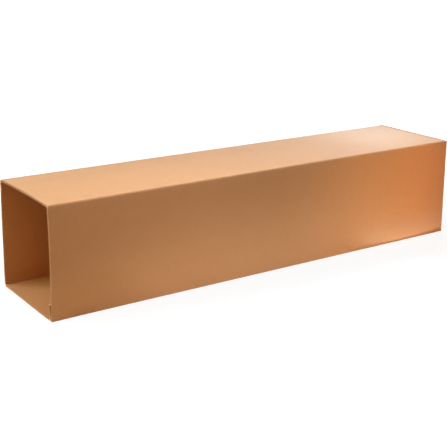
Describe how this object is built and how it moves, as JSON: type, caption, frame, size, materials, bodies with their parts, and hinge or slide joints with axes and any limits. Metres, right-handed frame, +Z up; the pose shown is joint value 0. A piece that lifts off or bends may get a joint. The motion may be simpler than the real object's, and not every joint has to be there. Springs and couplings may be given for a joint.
{
  "type": "telescoping carton half",
  "caption": "Long square corrugated carton, open at one end and closed by hinged flaps at the other, that sleeves over a matching inner carton.",
  "frame": {"origin": "centre of the bottom of the box that the carton fills, on the ground, with the carton lying on a side panel", "axes": "+X along the length from the open end to the flapped end, -Y the front panel that holds the glue tab, +Z up"},
  "size_m": [1.0242, 0.224, 0.224],
  "materials": {
    "kraft_board": "matte"
  },
  "bodies": {
    "carton": {"carton": "kraft_board"},
    "front_flap": {"front_flap": "kraft_board"},
    "back_flap": {"back_flap": "kraft_board"}
  },
  "joints": [
    {"name": "front_flap_fold", "type": "hinge", "parent": "carton", "child": "front_flap", "pos_m": [0.51015, -0.11, 0.112], "axis": [0, 0, -1], "range_deg": [0, 180]},
    {"name": "back_flap_fold", "type": "hinge", "parent": "carton", "child": "back_flap", "pos_m": [0.51015, 0.11, 0.112], "axis": [0, 0, 1], "range_deg": [0, 180]}
  ]
}
